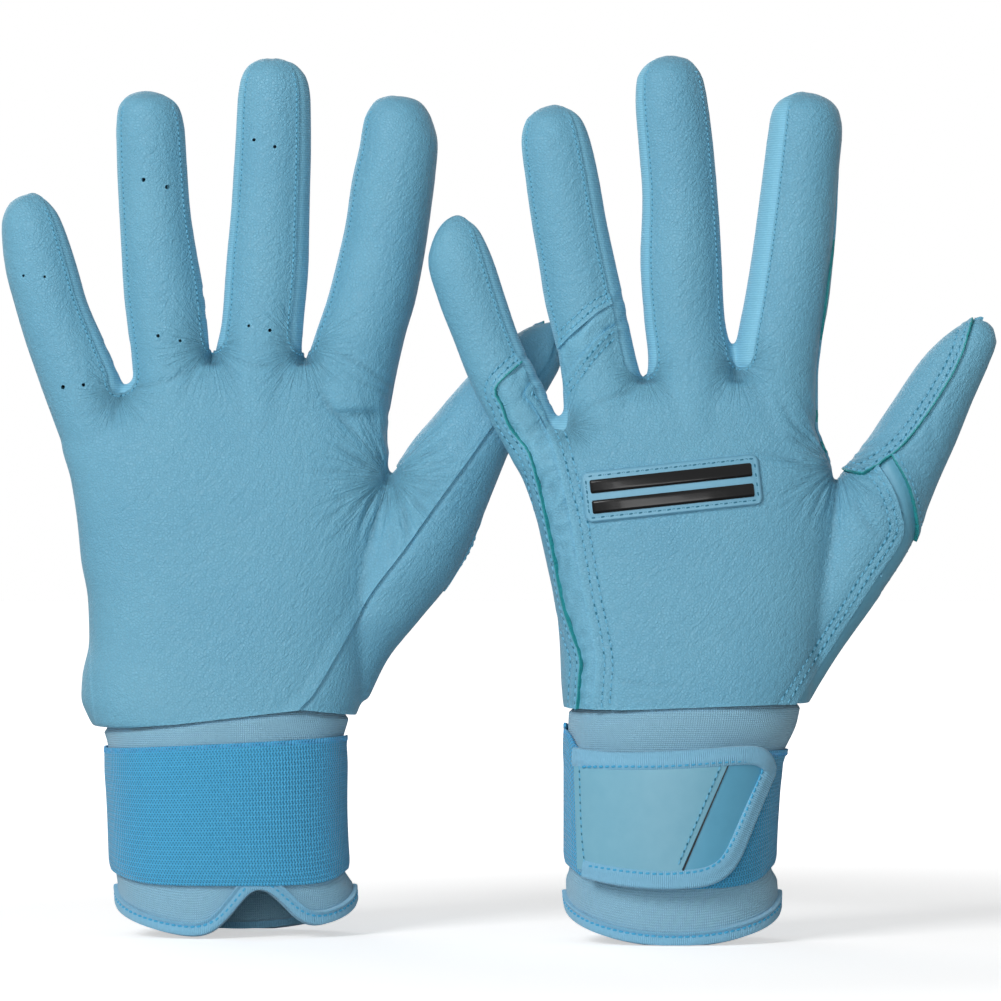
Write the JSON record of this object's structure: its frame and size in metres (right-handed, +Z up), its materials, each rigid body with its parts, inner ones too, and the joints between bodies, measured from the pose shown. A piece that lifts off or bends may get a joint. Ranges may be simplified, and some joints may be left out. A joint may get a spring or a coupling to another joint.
{
  "type": "pair of batting gloves",
  "caption": "Pair of sewn leather batting gloves, filled and standing fingers up, with stretch finger strips, knit cuff, elastic wristband and a swinging hook-and-loop tab.",
  "frame": {"origin": "centre of the pair's footprint, on the surface that the hems stand on", "axes": "+Z up along the fingers, +X along the pair from the right glove to the left glove, -Y towards the viewer, who sees the left glove's back and the right glove's palm"},
  "size_m": [0.283, 0.0852, 0.2531],
  "materials": {
    "leather": "soft grain",
    "stretch_strip": "smooth stretch knit",
    "knit_cuff": "fine rib knit",
    "elastic": "woven elastic",
    "binding_tape": "ribbed tape",
    "tab_leather": "soft grain",
    "tab_inlay": "smooth",
    "loop_pile": "brushed loop",
    "hook_tape": "moulded hooks",
    "badge_plate": "matt",
    "badge_bar": "gloss black"
  },
  "bodies": {
    "pair": {"left_pinky_back": "leather", "left_side_flex_insert": "leather", "left_ring_back": "leather", "left_ring_flex_insert": "leather", "left_back_leather": "leather", "left_thumb_gusset": "stretch_strip", "left_thumb_back": "leather", "left_thumb_overlay": "leather", "left_palm_leather": "leather", "left_thumb_palm": "leather", "left_fourchette_pinky_ring": "stretch_strip", "left_fourchette_ring_middle": "stretch_strip", "left_fourchette_middle_index": "stretch_strip", "left_badge_base": "badge_plate", "left_badge_bar_upper": "badge_bar", "left_badge_bar_lower": "badge_bar", "left_cuff_sleeve": "knit_cuff", "left_hem_binding": "binding_tape", "left_elastic_band": "elastic", "left_loop_patch": "loop_pile", "left_tab_root_tape": "binding_tape", "right_pinky_back": "leather", "right_side_flex_insert": "leather", "right_ring_back": "leather", "right_ring_flex_insert": "leather", "right_back_leather": "leather", "right_thumb_gusset": "stretch_strip", "right_thumb_back": "leather", "right_thumb_overlay": "leather", "right_palm_leather": "leather", "right_thumb_palm": "leather", "right_fourchette_pinky_ring": "stretch_strip", "right_fourchette_ring_middle": "stretch_strip", "right_fourchette_middle_index": "stretch_strip", "right_badge_base": "badge_plate", "right_badge_bar_upper": "badge_bar", "right_badge_bar_lower": "badge_bar", "right_cuff_sleeve": "knit_cuff", "right_hem_binding": "binding_tape", "right_elastic_band": "elastic", "right_loop_patch": "loop_pile", "right_tab_root_tape": "binding_tape"},
    "left_tab": {"left_tab_leather": "tab_leather", "left_tab_inlay": "tab_inlay", "left_tab_binding": "binding_tape", "left_hook_patch": "hook_tape"},
    "right_tab": {"right_tab_leather": "tab_leather", "right_tab_inlay": "tab_inlay", "right_tab_binding": "binding_tape", "right_hook_patch": "hook_tape"}
  },
  "joints": [
    {"name": "left_tab_hinge", "type": "hinge", "parent": "pair", "child": "left_tab", "pos_m": [0.01969, -0.03409, 0.0356], "axis": [0, 0, -1], "range_deg": [0, 140]},
    {"name": "right_tab_hinge", "type": "hinge", "parent": "pair", "child": "right_tab", "pos_m": [-0.11092, 0.03346, 0.03426], "axis": [0, 0, 1], "range_deg": [0, 140]}
  ]
}
